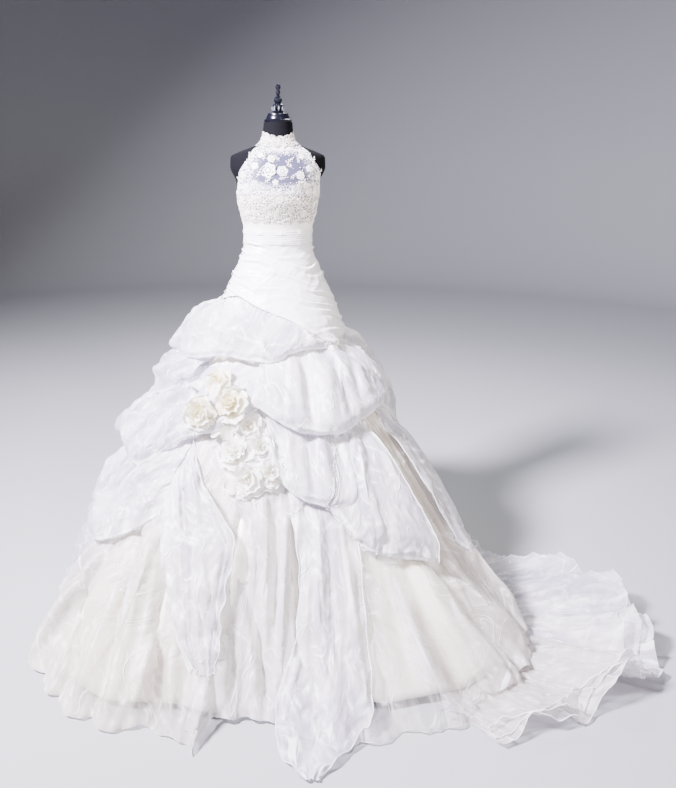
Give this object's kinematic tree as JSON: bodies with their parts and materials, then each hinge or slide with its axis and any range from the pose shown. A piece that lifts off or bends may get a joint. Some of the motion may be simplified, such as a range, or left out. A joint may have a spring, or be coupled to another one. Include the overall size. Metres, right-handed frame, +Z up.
{
  "type": "wedding dress on a dress form",
  "caption": "Floor-length halter wedding dress with lace bodice, ruched hip, picked-up sheer drapes, silk flowers and a swept train, standing on a dark dress form with a pole and round base.",
  "frame": {"origin": "centre of the flat underside of the round stand base, on the floor", "axes": "+Z up along the pole, the dress faces -Y, and the train sweeps towards +X"},
  "size_m": [1.809, 1.8487, 1.67],
  "materials": {
    "black_jersey": "matte",
    "black_lacquer": "satin",
    "crystal_metal": "polished",
    "beaded_lace": "beaded",
    "satin": "satin",
    "organza": "sheer",
    "silk_petal": "satin",
    "covered_button": "satin"
  },
  "bodies": {
    "root": {"form_torso": "black_jersey", "neck_cap": "black_lacquer", "finial": "crystal_metal", "stand_pole": "black_lacquer", "stand_base": "black_lacquer", "lining_front": "satin", "lining_back": "satin", "overlay_left": "organza", "overlay_front": "organza", "overlay_right": "organza", "overlay_back": "organza", "front_cascade": "organza", "left_cascade": "organza", "left_low_pouf": "organza", "centre_pouch": "organza", "right_back_drape": "organza", "right_drape": "organza", "back_bustle_lower": "organza", "left_swag_lower": "organza", "back_bustle_upper": "organza", "left_swag_upper": "organza", "right_pouf": "organza", "hip_swag": "organza", "bodice_front": "beaded_lace", "bodice_back": "beaded_lace", "hip_front": "satin", "hip_back": "satin", "halter_yoke": "beaded_lace", "waistband": "satin", "stand_collar": "beaded_lace", "train_under": "organza", "train_top": "organza", "flower_1": "silk_petal", "flower_2": "silk_petal", "flower_3": "silk_petal", "flower_4": "silk_petal", "flower_5": "silk_petal", "flower_6": "silk_petal", "flower_7": "silk_petal", "flower_8": "silk_petal", "flower_9": "silk_petal", "hip_sprig": "beaded_lace", "button_1": "covered_button", "button_2": "covered_button", "button_3": "covered_button", "button_4": "covered_button", "button_5": "covered_button", "button_6": "covered_button"}
  },
  "joints": []
}
